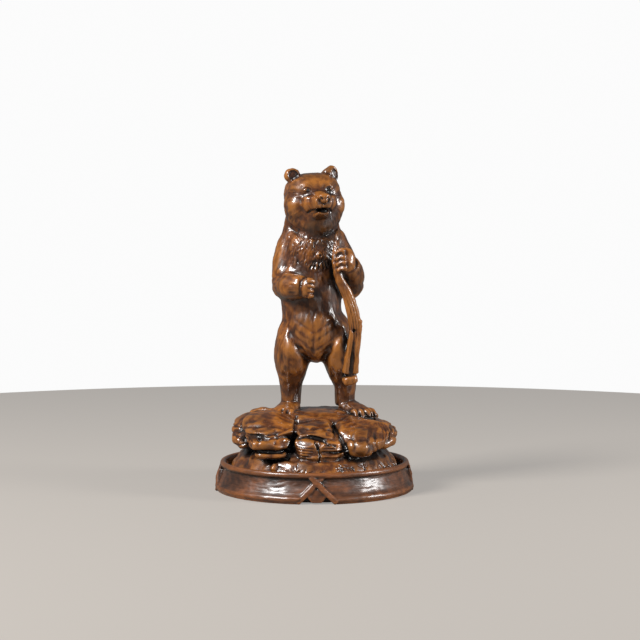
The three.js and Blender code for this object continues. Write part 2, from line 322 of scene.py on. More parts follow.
class Drawing:
    """A flat drawing of a surface as seen from the front of a frame, with the strokes cut by it."""

    def __init__(self, surface, place=None, where=None, least=0.1):
        back = (place or Matrix()).inverted()
        turned = np.array(back.to_3x3())
        own = surface.at @ turned.T + np.array(back.translation)
        facing = surface.out @ turned.T
        self.surface = surface
        self.flat = own[:, [0, 2]]
        self.deep = own[:, 1]
        self.seen = facing[:, 1] < -least
        if where is not None:
            self.seen &= where

    def stroke(self, points, depth, width, taper=True, edge=2.0):
        """Cuts a groove along a line, or raises a ridge where the depth is negative."""
        stations = np.array(points, float)
        fine = max(2, 5 * (len(stations) - 1))
        line = np.array([curve_at(stations, i / fine) for i in range(fine + 1)])
        margin = 2.2 * width
        box = ((self.flat > line.min(0) - margin) & (self.flat < line.max(0) + margin)).all(1)
        near = np.flatnonzero(self.seen & box)
        at = self.flat[near]
        gap = np.full(len(near), 1e9)
        along = np.zeros(len(near))
        for i, (start, end) in enumerate(zip(line, line[1:])):
            leg = end - start
            share = np.clip((at - start) @ leg / (leg @ leg + 1e-9), 0, 1)
            here = np.linalg.norm(at - start - share[:, None] * leg, axis=1)
            nearer = here < gap
            gap[nearer] = here[nearer]
            along[nearer] = (i + share[nearer]) / fine
        cut = depth * np.exp(-((gap / width) ** edge))
        if taper:
            cut *= np.sqrt(np.clip(5 * along * (1 - along), 0, 1))
        self.surface.at[near] -= self.surface.out[near] * cut[:, None]

    def swell(self, centre, half, height, turn=0.0, sink=0.0):
        """Raises a soft-edged oval, hollows it, or moves it straight back by a depth."""
        offset = self.flat - np.array(centre)
        c, s = math.cos(turn), math.sin(turn)
        along = (offset[:, 0] * c + offset[:, 1] * s) / half[0]
        across = (offset[:, 1] * c - offset[:, 0] * s) / half[1]
        q = along**2 + across**2
        near = np.flatnonzero(self.seen & (q < 1))
        soft = (1 - q[near]) ** 1.5
        self.surface.at[near] += self.surface.out[near] * (height * soft)[:, None]
        if sink:
            self.surface.at[near, 1] += sink * np.minimum(1, 2.5 * (1 - q[near]))


def unrolled(surface, radius, where):
    """A drawing of a round piece's side, with the distance round it as the first measure."""
    drawing = Drawing(surface)
    turn = np.arctan2(surface.at[:, 0], -surface.at[:, 1])
    drawing.flat = np.stack([turn * radius, surface.at[:, 2]], axis=1)
    drawing.seen = where
    return drawing


# ---- The bear ----


def bear_core(bm):
    """The trunk, rump, legs, upper arms and forearms, which flow into one another."""
    limb(bm, [
        [LEAN + 4, 3, CROTCH + 24, 27, 26],
        [LEAN + 1.5, 3, CROTCH + 35, 30.5, 29],
        [LEAN + 0.4, 0, WAIST - 2, 28.3, 27],
        [LEAN - 0.4, 0, WAIST + 16, 29, 27],
        [LEAN, 3, SHOULDER - 28, 31, 29],
        [LEAN, 6, SHOULDER - 10, 31, 29],
        [LEAN, 8, SHOULDER + 4, 28.5, 25],
        [LEAN, 7, NECK + 2, 25.8, 21],
        [LEAN + 1, 5, HEAD, 21, 18],
    ], around=40)
    lump(bm, (LEAN + 2, -11, WAIST - 14), (25, 19, 31))
    lump(bm, (LEAN + 5, -4, CROTCH + 15), (13, 22, 16))
    lump(bm, (LEAN + 1, -6, SHOULDER - 12), (25, 19, 24), boxiness=0.85)
    for side in (-1, 1):
        lump(bm, (LEAN + 3 + side * 12, 16, CROTCH + 24), (17, 17, 22))
        lump(bm, (LEAN + side * 14, 21, SHOULDER - 12), (15, 12, 22))
    for hip, knee, ankle in ((-16.4, -21.5, -22.6), (17.5, 25.5, 29)):
        limb(bm, [
            [hip * 0.6, 3, CROTCH + 50, 11, 19],
            [hip, 2, CROTCH + 30, 17.5, 24],
            [(hip + 2 * knee) / 3 - 0.5, 0, CROTCH + 12, 18, 25],
            [knee, -1, CROTCH, 16.8, 21],
            [knee + (ankle - knee) * 0.3, 1, CROTCH - 10, 14.2, 16.5],
            [ankle, 4, CROTCH - 22, 10.8, 13.3],
            [ankle, 6, GROUND + 11, 9.7, 12],
            [ankle, 6, GROUND + 3, 9.2, 11],
        ])
    limb(bm, [
        [-19.5, 5, SHOULDER + 3, 12.5, 14],
        [-23.5, 4, SHOULDER - 9, 14, 16],
        [-27, 1, SHOULDER - 24, 13.2, 15],
        [-27.4, -4, ELBOW, 12.8, 13.5],
    ])
    lump(bm, (-27.6, -3, ELBOW - 3), (12.6, 13, 12.4))
    lump(bm, (33.4, -3, ELBOW - 2), (13.2, 13, 12.6))
    lump(bm, (-25.5, -7, ELBOW + 9), (10.5, 8.6, 11))
    limb(bm, [
        [-27.4, -6, ELBOW - 1, 13, 12.5],
        [-22, -24, ELBOW - 2, 12, 12.3],
        [-14.5, -34, ELBOW - 2, 10, 11.6],
        [-9, -38, ELBOW - 2.5, 8.5, 10.3],
    ], facing=(0, 0, 1))
    limb(bm, [
        [14.5, 5, SHOULDER + 5, 13, 14],
        [20.5, 4, SHOULDER - 9, 14, 15],
        [28, 2, SHOULDER - 24, 13.6, 15],
        [33.2, -2, ELBOW, 13.4, 13.5],
    ])
    limb(bm, [
        [33.2, -5, ELBOW + 1, 13.4, 12.5],
        [34.6, -17, ELBOW + 9, 12.3, 12.5],
        [31, -31, ELBOW + 19, 11, 11],
    ], facing=(1, 0, 0))


def head_core():
    """The skull, cheeks, throat and root of the muzzle, round the head's own centre."""
    bm = bmesh.new()
    lump(bm, (0, 5, 1.5), (26, 27, 24.5), boxiness=0.72)
    lump(bm, (0, 0, -5), (28.6, 23, 29.5))
    lump(bm, (0, -6, -18), (18, 19, 20))
    lump(bm, (0, -10, 10), (19, 12.5, 12.5))
    for side in (-1, 1):
        lump(bm, (side * 9.5, -13, 13.4), (9, 8.4, 6), turn=(0, side * 0.2, 0))
        lump(bm, (side * 17, -8, -5), (11, 11, 13))
        lump(bm, (side * 8, -19, -3), (8.5, 9, 9.5))
    limb(bm, [
        [0, -10, -3.5, 15, 14.5],
        [0, -22, -3.4, 11.6, 12],
        [0, -33, -3.2, 9, 8.6],
        [0, -39, -3, 7.4, 6.4],
    ], facing=(0, 0, 1))
    limb(bm, [
        [0, -10, -16, 14, 10],
        [0, -21, -15.6, 9.6, 5.4],
        [0, -27, -15, 6.6, 3.2],
    ], facing=(0, 0, 1))
    return bm


def head_detail():
    """The jaws, nose, eyes and ears."""
    bm = bmesh.new()
    limb(bm, [
        [0, -24, -3.8, 11.6, 10.6],
        [0, -34, -3.4, 9.4, 8.6],
        [0, -40.5, -3, 7.8, 6.6],
    ], facing=(0, 0, 1))
    limb(bm, [
        [0, -22, -16, 8.6, 4.2],
        [0, -31, -14.4, 6.4, 2.6],
        [0, -37.5, -13.1, 5.2, 1.5],
    ], facing=(0, 0, 1))
    lump(bm, (0, -42.2, 1.4), (5.4, 3.8, 2.9), boxiness=0.85)
    lump(bm, (0, -42.6, -1.4), (3.6, 3.4, 3.2))
    for side in (-1, 1):
        lump(bm, (side * 10.6, -18.6, 9.2), (4.1, 3.6, 3.1))
    lump(bm, (-19.2, 1, 24), (7.6, 5, 7.4), turn=(0, 0, -0.35))
    limb(bm, [
        [15, 3, 18, 9.5, 6],
        [18.6, 2, 24.6, 8.2, 5.2],
        [20.4, 1, 29.4, 4.8, 4],
        [21.2, 1, 31.2, 2.4, 2.4],
    ], facing=(0.3, -1, 0))
    return bm


def claw(bm, root, tip, radius, swell=0.6):
    """A finger or a toe that arches from its root to its tip."""
    middle = [(a + b) / 2 for a, b in zip(root, tip)]
    middle[2] += radius * swell
    limb(bm, [
        [*root, radius, radius],
        [*middle, radius * 0.95, radius * 0.95],
        [*tip, radius * 0.6, radius * 0.6],
    ], facing=(0, 0, 1), around=14, per_span=5)


def paws(bm):
    """The clenched right paw, and the left one wrapped round the branch."""
    lump(bm, (-7, -40, ELBOW - 3), (6.4, 7, 9.4), boxiness=0.95)
    for i in range(4):
        height = ELBOW + 3.6 - i * 4.4
        tip = [0.4 - i * 0.5, -43.5 + i * 0.8, height - 1.4]
        claw(bm, [-6.5 + i * 0.2, -45.5 + i * 0.5, height], tip, 2.9, 0.3)
    lump(bm, (29, -36, ELBOW + 22.5), (9.2, 8.5, 11.6), boxiness=0.9)
    for i in range(4):
        height = ELBOW + 31 - i * 5.2
        claw(bm, [28 + i * 0.6, -43, height], [19.2 + i * 0.7, -41.5, height - 2.6], 2.9, 0.5)


def foot(bm, heel, out, length):
    """A broad foot that turns out by an angle, with five toes that droop over the edge of the rock."""

    def ahead(distance, across, height):
        return [
            heel[0] + math.sin(out) * distance + math.cos(out) * across,
            heel[1] - math.cos(out) * distance + math.sin(out) * across,
            GROUND + height,
        ]

    limb(bm, [
        [*ahead(1, 0, 3.4), 10.8, 7.6],
        [*ahead(length * 0.45, 0, 0.5), 11.5, 6.2],
        [*ahead(length * 0.8, 0, -2), 12.5, 4.8],
    ], facing=(0, 0, 1))
    for i in range(-2, 3):
        root = ahead(length * 0.8 - abs(i) * 1.6, i * 5.0, -0.4)
        tip = ahead(length * 1.12 - abs(i) * 2.5, i * 5.8, -5.6)
        claw(bm, root, tip, 2.7, 0.8)


def branch(bm):
    """The crooked branch in the bear's left paw, forked below and ending in a knot."""
    limb(bm, [
        [21.4, -20, SHOULDER + 9, 1.8, 3],
        [20.8, -25, SHOULDER + 3, 2.4, 3.6],
        [20.4, -30, SHOULDER - 9, 3.2, 4],
        [20.3, -34, ELBOW + 19, 4, 4.2],
        [24, -34, ELBOW + 4, 4.4, 4.4],
        [30.8, -32, ELBOW - 10, 5.3, 4.8],
        [35.6, -30, ELBOW - 26, 5.9, 5],
        [38.6, -27, ELBOW - 41, 6.3, 5],
    ], around=20)
    limb(bm, [
        [36.5, -27, ELBOW - 43, 4, 5],
        [32.6, -24, ELBOW - 63, 3.2, 4.6],
        [29.5, -20, ELBOW - 83, 3.4, 4.6],
    ], around=16)
    limb(bm, [
        [40.5, -27, ELBOW - 41, 4, 4.6],
        [39.4, -24, ELBOW - 63, 3, 4.4],
        [38, -19, ELBOW - 83, 3.2, 4.6],
    ], around=16)
    limb(bm, [
        [38.6, -25.5, ELBOW - 35, 5.8, 4.6],
        [36, -21.5, ELBOW - 63, 5.6, 3.6],
        [33.8, -18, ELBOW - 85, 5.4, 4],
    ], around=16)
    lump(bm, (33.4, -18, ELBOW - 90), (7, 6.2, 4.6), boxiness=0.6, turn=(0.1, -0.3, 0.2), detail=3)
    limb(bm, [
        [39, -28, ELBOW - 39, 3.6, 3.6],
        [43, -30, ELBOW - 33, 2, 2.4],
    ], around=12)


# ---- The ground ----


def mound(bm):
    """The low bank that the rocks lie on, from its foot in the tray."""
    outline = [
        (MOUND_RADIUS - 1, MOUND_FOOT),
        (MOUND_RADIUS, MOUND_FOOT + 4),
        (MOUND_RADIUS - 2.6, MOUND_FOOT + 9),
        (MOUND_RADIUS - 7, MOUND_FOOT + 15),
        (MOUND_RADIUS - 13, MOUND_FOOT + 20),
        (MOUND_RADIUS - 24, MOUND_FOOT + 26),
        (MOUND_RADIUS - 36, MOUND_FOOT + 40),
    ]
    turned_solid(bm, outline)


def rocks(bm):
    """Split boulders in a ring round a flat slab, each a stack of ledges that overhang the mound."""
    top = GROUND + 0.5
    rng = np.random.default_rng(17)
    for centre, half, turn, squareness in (
        ((2, 8, top - 14), (52, 38, 14), (0, 0, 0), 0.62),
        # the boulder under the bear's right foot, with a rolled edge, a ledge and a tip to the side
        ((-41, -36, 60), (25, 29, 11), (0.34, -0.12, 0.3), 0.7),
        ((-41, -60, 50), (20, 9.5, 6.5), (0.1, 0, 0.22), 0.78),
        ((-37, -59, 40.5), (18, 10, 3.8), (0, 0, 0.16), 0.8),
        ((-61, -8, 61.5), (18.5, 22, 10), (0.1, -0.48, 0.15), 0.7),
        ((-64, -26, 50), (13, 17, 9), (0, -0.25, 0.45), 0.7),
        ((-57, 12, 56), (21, 20, 12), (0, -0.3, -0.1), 0.68),
        # the split slabs in the middle of the front
        ((-1, -42, 59), (19, 19, 7.5), (0.27, 0.04, -0.05), 0.5),
        ((5, -52, 56), (13, 10, 5), (0.3, 0.1, 0.1), 0.45),
        ((-6, -60, 46), (12, 12, 9.5), (0.3, 0.08, -0.12), 0.4),
        ((14, -58, 47), (15, 12, 8), (0.3, 0.12, 0.2), 0.42),
        ((9, -60, 40), (20, 10, 5), (0.2, -0.05, 0.12), 0.5),
        # the boulder under the bear's left foot
        ((43, -37, 56.5), (27, 28, 11), (0.32, 0.12, -0.3), 0.74),
        ((41, -57, 46.5), (14, 12, 9.6), (0.1, 0, -0.2), 0.9),
        ((61, -8, 56.5), (17.5, 24, 10), (0.1, 0.26, -0.1), 0.72),
        ((62, -28, 50), (13, 14, 8.5), (0, 0.15, -0.5), 0.75),
        ((52, 14, 54), (24, 22, 12), (0, 0.18, 0.2), 0.7),
        # behind
        ((-34, 40, 58), (29, 26, 12), (-0.28, 0, -0.6), 0.62),
        ((-50, 38, 47), (19, 20, 8), (-0.1, 0, -0.9), 0.6),
        ((31, 42, 57), (30, 25, 11), (-0.28, 0, 0.5), 0.62),
        ((53, 36, 46), (18, 19, 8), (-0.1, 0, 0.9), 0.6),
        ((-2, 54, 54), (20, 20, 9), (-0.3, 0, 0), 0.55),
        ((6, 64, 43), (22, 10, 5), (-0.1, 0, 0.1), 0.6),
    ):
        chips = []
        for _ in range(9):
            outward = Vector(rng.standard_normal(3)).normalized()
            chips.append((outward, rng.uniform(0.84, 1.04)))
        lump(bm, centre, half, boxiness=squareness, turn=turn, chips=chips)


# ---- Carved detail ----


def in_head(at):
    """Places given in the head's own frame."""
    back = HEAD_PLACE.inverted()
    return at @ np.array(back.to_3x3()).T + np.array(back.translation)


def carve_face(surface):
    """The eyes, muzzle, mouth and ears, cut in the head's own frame."""
    high = in_head(surface.at)[:, 2] > -38
    face = Drawing(surface, HEAD_PLACE, high, least=0.02)
    face.seen &= face.deep < -12
    for side in (-1, 1):
        # the hollow under the eye, the cheek below it, and the pupil
        face.swell((side * 10.6, 5), (6, 2.6), -0.7)
        face.swell((side * 12, 1.2), (5.6, 2.2), 0.6)
        face.swell((side * 10.4, 9.2), (1.4, 1.4), -0.8)
        for line, depth, width in (
            # the upper and the lower lid, and the slits inside them
            ([(6, 8.2), (8.2, 11.6), (12.2, 12.4), (15.8, 9)], -0.6, 0.8),
            ([(6.2, 7.6), (8.8, 5.9), (12.6, 6), (15.6, 8.4)], -0.4, 0.7),
            ([(7, 8.8), (9.2, 10.9), (12, 11.1), (14.4, 9.2)], 0.55, 0.5),
            ([(7.2, 8), (9.6, 7), (12.2, 7.1), (14.4, 8.6)], 0.45, 0.45),
            # the corner of the mouth, the nostril and the wing of the nose
            ([(4.6, -9.8), (7.4, -10), (9.8, -10.8), (11.6, -12.8)], 1.5, 0.8),
            ([(1.5, -0.8), (2.7, -0.6), (3.6, 0.6), (3.5, 1.9)], 1.1, 0.55),
            ([(5, 3.8), (6.4, 1.4), (4.6, -1.4), (2.6, -3.6)], 0.6, 0.6),
        ):
            face.stroke([(side * x, z) for x, z in line], depth, width)
    face.stroke([(0, 11), (0, 15), (0, 19)], 0.4, 2.2)
    face.stroke([(0, 2.6), (0, -1), (0, -4.6), (0, -7.4)], 0.55, 0.5)
    face.swell((0, -10.4), (6.4, 2.1), 0, sink=7)
    surface.feel()
    ears = Drawing(surface, HEAD_PLACE, high)
    ears.seen &= ears.flat[:, 1] > 13
    ears.swell((-19.4, 24.4), (4.9, 5), 0, sink=2.2)
    ears.swell((21.4, 23), (3.2, 6), 0, turn=0.2, sink=1.6)
    surface.feel()


def carve_trunk(surface):
    """The bib, the folds of the belly, the thighs and the joints of the arms."""
    body = surface.at[:, 2] > GROUND + 12
    front = Drawing(surface, where=body & (surface.at[:, 1] > -38))
    front.stroke([(-27, NECK + 2), (-20, NECK - 7), (-9, NECK - 12.5), (3, NECK - 13.5), (14, NECK - 10),
                  (22, NECK - 2), (24, NECK + 4)], 1.5, 2.2)
    bib_foot = SHOULDER - 26
    front.stroke([(-23, SHOULDER + 2), (-18, SHOULDER - 12), (-12, bib_foot + 1), (-2, bib_foot - 5),
                  (9, bib_foot - 3), (18, bib_foot + 1)], 0.6, 3)
    front.swell((5, SHOULDER - 14), (4, 4), 2.4)
    front.swell((5.4, SHOULDER - 14), (1.7, 1.7), -1.8)
    for lean in (-4.5, -2.5, 0, 2.5, 4.5):
        x = 4.5 + lean
        ray = [(x, bib_foot + 8), (x + lean * 0.5, bib_foot + 3), (x + lean, bib_foot - 1)]
        front.stroke(ray, 1.1, 0.8)
    rng = np.random.default_rng(6)
    for _ in range(170):
        x, z = rng.uniform(-23, 20), rng.uniform(bib_foot + 2, NECK - 12)
        sweep = 0.12 * (x + 2) + rng.uniform(-1.5, 1.5)
        lock = [(x, z + 1.3), (x + sweep * 0.4, z), (x + sweep, z - 1.4)]
        front.stroke(lock, rng.uniform(0.2, 0.5), 0.5)
    keel = 0.0
    chevrons = (6, 18, 0.45), (13, 20, 0.4), (20, 22, 0.6), (27, 21, 0.65), (35, 18, 0.6)
    for drop, reach, depth in chevrons:
        level = WAIST - drop
        rise = reach * 0.72
        for side in (-1, 1):
            front.stroke([(keel, level - rise), (keel + side * reach * 0.45, level - rise * 0.55),
                          (keel + side * reach, level)], depth, 1.3)
    front.stroke([(keel, WAIST + 6), (keel - 1, WAIST - 10), (keel, WAIST - 40)], 0.7, 2.4)
    folds = Drawing(surface, where=front.seen, least=0.4)
    for side in (-1, 1):
        folds.stroke([(side * 25, WAIST - 12), (side * 22, CROTCH + 26), (side * 15.5, CROTCH + 15),
                      (side * 9.5 + 1, CROTCH + 5), (side * 5 + 2, CROTCH - 2)], 1.6, 3)
        front.swell((side * 23 - 0.5, CROTCH + 14), (9, 15), 1.3, turn=side * 0.15)
    front.stroke([(-33, WAIST + 12), (-28.5, WAIST - 5), (-30, WAIST - 24)], 0.8, 2.0)
    surface.feel()
    elbow = Drawing(surface, where=body & (surface.at[:, 1] < -12))
    elbow.swell((-27, ELBOW + 12), (11, 5), 1.3)
    near = Drawing(surface, where=body & (surface.at[:, 1] < -28))
    near.stroke([(-13.6, ELBOW + 8), (-12.6, ELBOW - 2), (-13.6, ELBOW - 12)], 0.55, 1.5)
    for i in range(3):
        level = ELBOW + 1.2 - i * 4.4
        near.stroke([(-6.5, level + 0.4), (-3, level), (2.5, level - 1)], 0.5, 0.7)
        level = ELBOW + 27.6 - i * 5.2
        knuckle = [(17 + i * 0.7, level - 2.2), (23, level - 0.8), (30 + i * 0.6, level + 0.6)]
        near.stroke(knuckle, 0.5, 0.75)
    surface.feel()


def carve_branch(surface):
    """The bark ridges that run down the branch into its fork."""
    near = Drawing(surface, where=(surface.at[:, 1] < -16) & (surface.at[:, 2] > ELBOW - 95), least=0.02)
    for shift, depth in ((-3.2, 0.7), (-1, 1.0), (1.4, 0.9), (3.6, 0.7)):
        bark = [(24.5 + shift * 0.7, ELBOW + 2), (31 + shift, ELBOW - 13), (36 + shift, ELBOW - 29),
                (38 + shift, ELBOW - 46), (36 + shift, ELBOW - 66), (34 + shift, ELBOW - 84)]
        near.stroke(bark, depth, 0.75)
    for shift in (-1.2, 1.2):
        near.stroke([(20.6 + shift, SHOULDER + 4), (20.4 + shift, SHOULDER - 10)], 0.6, 0.6)
    surface.feel()


def carve_rocks(surface):
    """Crevices between the boulders, split ledges with splintered ends, and worn pits."""
    low = (surface.at[:, 2] < GROUND + 6) & (surface.at[:, 2] > MOUND_FOOT + 16)
    front = Drawing(surface, where=low, least=-0.05)
    front.seen &= surface.at[:, 1] < -8
    for crack, depth, width in (
        # the boulder under the bear's right foot
        ([(-17, GROUND - 3), (-18, GROUND - 12), (-19, GROUND - 20), (-23, GROUND - 30),
          (-24, GROUND - 40)], 2.6, 1.4),
        ([(-60, 57), (-46, 58.5), (-31, 61), (-18, 66)], 1.3, 1.2),
        ([(-60, 44), (-44, 43.5), (-28, 43)], 1.8, 1.2),
        ([(-68, 62), (-56, 65), (-42, 66), (-30, 64)], 1.1, 1.2),
        ([(-54, 62), (-50, 56), (-52, 49)], 0.8, 1.4),
        ([(-37, 64), (-34, 57), (-36, 50)], 0.8, 1.3),
        # the split slabs
        ([(6, 43.6), (18, 43), (31, 44)], 1.8, 0.9),
        ([(-8, 62), (5, 64), (15, 61)], 1.2, 1.0),
        # the boulder under its left foot
        ([(14, 67), (21, 59), (26, 52), (30, 42), (33, 35)], 2.2, 1.3),
        ([(57, 63), (56, 52), (59, 42)], 1.4, 1.3),
        ([(34, 66), (46, 64), (58, 66)], 1.0, 1.2),
        ([(28, 57), (37, 54), (46, 55.5), (54, 53)], 0.9, 1.4),
        ([(36, 62), (35, 56), (37, 50), (35, 43)], 0.8, 1.3),
        ([(52, 62), (49, 54), (50, 46), (46, 40)], 1.0, 1.4),
    ):
        front.stroke(crack, depth, width)
    # the rolled scroll and the splinters at the side
    for turn in range(3):
        ridge = 3.2 + turn * 2.6
        turns = np.linspace(-0.6, 4.2, 7)
        scroll = [(-65 + ridge * math.cos(a), 52 + ridge * 0.8 * math.sin(a)) for a in turns]
        front.stroke(scroll, 0.8, 0.7)
    front.swell((-65, 52), (2.6, 2.2), -2)
    for rise, start in ((9, -79), (2, -78), (-6, -74)):
        front.stroke([(-63, 52 + rise * 0.5), (-70, 52 + rise), (start, 53 + rise)], 1.2, 1.0)
    front.swell((-26, 53), (2.2, 2), 1.6)
    # the splits of the slabs
    front.stroke([(-16, 55), (-5, 57), (8, 54), (20, 49)], 2, 1.0, taper=False)
    front.stroke([(1, 53), (4, 45), (5, 38), (2, 31)], 2.2, 0.9, taper=False)
    for i in range(5):
        level = 49 - i * 2.6
        front.stroke([(-17, level), (-9, level - 1.2), (0 - i * 0.6, level - 2)], 0.9, 0.55)
    for i in range(5):
        level = 51 - i * 2.9
        split = [(7 - i * 0.3, level - 1), (17, level - 1.6), (30, level - 1)]
        front.stroke(split, 1.0 if i == 2 else 0.6, 0.6)
    # the swell of the left boulder, and the folds at its side
    front.swell((44, 46), (7, 6), 1.2)
    for i in range(5):
        x = 62 + i * 3
        front.stroke([(x - 3, 67 - i), (x + 1.5, 60), (x + 1, 50 + i)], 0.8, 0.75)
    surface.feel()
    # the sides and the back, in keeping
    behind = surface.at[:, 1] > -14
    outside = np.hypot(surface.at[:, 0], surface.at[:, 1]) > 30
    ring = unrolled(surface, ROCK_RADIUS, low & behind & outside)
    rng = np.random.default_rng(4)
    half_turn = math.pi * ROCK_RADIUS
    for side in (-1, 1):
        for i in range(9):
            x = side * (half_turn - 8 - i * 14 + rng.uniform(-4, 4))
            z = rng.uniform(46, 64)
            ledge = [(x - 11, z + rng.uniform(-3, 3)), (x, z + rng.uniform(-1, 3)), (x + 11, z)]
            ring.stroke(ledge, 1.4, 1.0)
            if i % 2:
                crevice = [(x, GROUND), (x + rng.uniform(-3, 3), 56), (x + rng.uniform(-6, 6), 38)]
                ring.stroke(crevice, 2.4, 1.2)
            for k in range(4):
                ring.stroke([(x - 4, z - 3 - 2 * k), (x + 5, z - 4 - 2 * k)], 0.6, 0.6)
    surface.feel()


def tuft(drawing, root, reach, count, spread, rng):
    """A fan of short gouge strokes, as grass or a leaf is cut."""
    for i in range(count):
        turn = math.radians(-spread + 2 * spread * (i + rng.uniform(-0.3, 0.3)) / max(count - 1, 1))
        far = reach * rng.uniform(0.6, 1.1)
        foot = (root[0] + rng.uniform(-1.5, 1.5), root[1] + rng.uniform(-1, 1))
        tip = (foot[0] + math.sin(turn) * far, foot[1] + math.cos(turn) * far)
        bend = (foot[0] + math.sin(turn * 0.4) * far * 0.5, foot[1] + math.cos(turn * 0.4) * far * 0.5)
        drawing.stroke([foot, bend, tip], rng.uniform(0.4, 0.8), 0.6)


def carve_mound(surface):
    """Grass, bark and cracks round the foot of the carving."""
    low = surface.at[:, 2] < MOUND_FOOT + 26
    low &= np.hypot(surface.at[:, 0], surface.at[:, 1]) > MOUND_RADIUS - 22
    ring = unrolled(surface, MOUND_RADIUS, low)
    ring.swell((-40, MOUND_FOOT + 11), (4.4, 4), 3.4)
    foot = MOUND_FOOT + 1
    for turn, tall in ((-83, 17), (26.5, 13), (39, 10), (128, 15), (-150, 12)):
        x = math.radians(turn) * MOUND_RADIUS if abs(turn) > 60 else turn
        crack = [(x, foot), (x + 0.7, foot + tall * 0.5), (x - 0.4, foot + tall)]
        ring.stroke(crack, 1.3, 0.5, taper=False)
    rng = np.random.default_rng(11)
    tuft(ring, (-17, foot + 1), 14, 7, 50, rng)
    tuft(ring, (-8, foot), 11, 6, 42, rng)
    tuft(ring, (4, foot + 1), 9, 5, 60, rng)
    tuft(ring, (52, foot + 3), 11, 6, 40, rng)
    for i in range(6):
        z = foot + 1.5 + i * 1.7
        ring.stroke([(-54 + i, z), (-42, z + 0.8), (-28 + i, z - 0.4)], 0.6, 0.55)
    for i in range(5):
        ring.stroke([(21 + i * 3, foot + 12), (24 + i * 3, foot + 7), (23 + i * 3, foot + 3)], 0.5, 0.6)
        z = foot + 3 + i * 2.2
        ring.stroke([(20, z), (28, foot + 4 + i * 2.2), (35, z)], 0.5, 0.6)
    for _ in range(26):
        x = rng.uniform(62, 2 * math.pi * MOUND_RADIUS - 62)
        x = x if x < math.pi * MOUND_RADIUS else x - 2 * math.pi * MOUND_RADIUS
        tuft(ring, (x, foot + rng.uniform(0, 6)), rng.uniform(8, 13), int(rng.integers(4, 8)), 40, rng)
    surface.feel()


def from_line(at, start, end):
    """How far points lie from a line between two places."""
    start, end = np.array(start, float), np.array(end, float)
    leg = end - start
    share = np.clip((at - start) @ leg / (leg @ leg), 0, 1)
    return np.linalg.norm(at - start - share[:, None] * leg, axis=1)


def fur_and_tool_marks(surface):
    """The lie of the hair over the bear, the tufts of its bib, and the gouge marks on the stone."""
    at, out = surface.at, surface.out
    own = in_head(at)
    stone = np.clip((GROUND + 3 - at[:, 2]) / 2, 0, 1)
    lie = np.tile([0.0, 0.35, -1.0], (len(at), 1))
    lie[:, 0] = 0.25 * np.sin(at[:, 2] / 9)
    on_head = (own[:, 2] > -30) & (np.linalg.norm(own, axis=1) < 46) & (own[:, 1] < 40)
    from_nose = at - np.array(HEAD_PLACE @ Vector((0, -44, 4)))
    from_nose[:, 2] -= 12 * (own[:, 2] < -8)
    lie[on_head] = from_nose[on_head]
    for start, end in (
        ((-29, -4, ELBOW), (-6, -42, ELBOW - 2)),
        ((33, -4, ELBOW), (29, -37, ELBOW + 21)),
    ):
        near = from_line(at, start, end) < FOREARM_REACH
        lie[near] = np.array(end) - np.array(start)
    lie[stone > 0.5] = np.stack([-at[:, 1], at[:, 0], 0 * at[:, 2] + 12], axis=1)[stone > 0.5]
    lie -= out * (lie * out).sum(1)[:, None]
    lie /= np.linalg.norm(lie, axis=1)[:, None] + 1e-9
    fine = surface.combed(lie, 20, seed=3)
    short = surface.combed(lie, 5, seed=4)
    locks = surface.combed(lie, 60, seed=5)
    bib = np.exp(-(((at[:, 0] + 2) / 21) ** 4) - (((at[:, 2] - SHOULDER + 9) / 21) ** 4))
    bib *= (at[:, 1] < -14) * (1 - on_head)
    face = np.clip((20 - np.linalg.norm(own[:, [0, 2]] - [0, -2], axis=1)) / 8, 0, 1) * (own[:, 1] < -20)
    plain = (1 - 0.6 * face) * (1 - 0.75 * stone)
    heights = 0.16 * plain * np.tanh(1.4 * fine) + 0.28 * bib * np.tanh(1.2 * short)
    heights += 0.12 * plain * (1 - stone) * (1 - 0.6 * on_head) * np.tanh(locks)
    heights += (0.22 + 0.3 * stone) * surface.rolling(40, seed=8)
    heights += 0.16 * stone * surface.rolling(14, seed=9)
    surface.raised(heights)


# Its values are painted into the colour as shade, and as stain in the hollows.
def shut_in(piece):
    """How far each vertex is shut in by what stands round it, 0 in the open and 1 in a crevice."""
    mesh = piece.data
    places = [vertex.co.copy() for vertex in mesh.vertices]
    outs = read(mesh.vertex_normals, "vector")
    tree = BVHTree.FromPolygons(places, [face.vertices[:] for face in mesh.polygons])
    spiral = []
    for i in range(SHADE_RAYS):
        lift = math.sqrt(1 - (i + 0.5) / SHADE_RAYS)
        turn = i * GOLDEN_ANGLE
        flat = math.sqrt(1 - lift * lift)
        spiral.append((math.cos(turn) * flat, math.sin(turn) * flat, lift))
    shut = np.zeros(len(places))
    for i, (place, out) in enumerate(zip(places, outs)):
        out = Vector(out)
        side = out.orthogonal().normalized()
        up = out.cross(side)
        start = place + out * 0.25
        for x, y, z in spiral:
            gap = tree.ray_cast(start, side * x + up * y + out * z, SHADE_REACH)[3]
            if gap is not None:
                shut[i] += 1 - gap / SHADE_REACH
    return shut / SHADE_RAYS


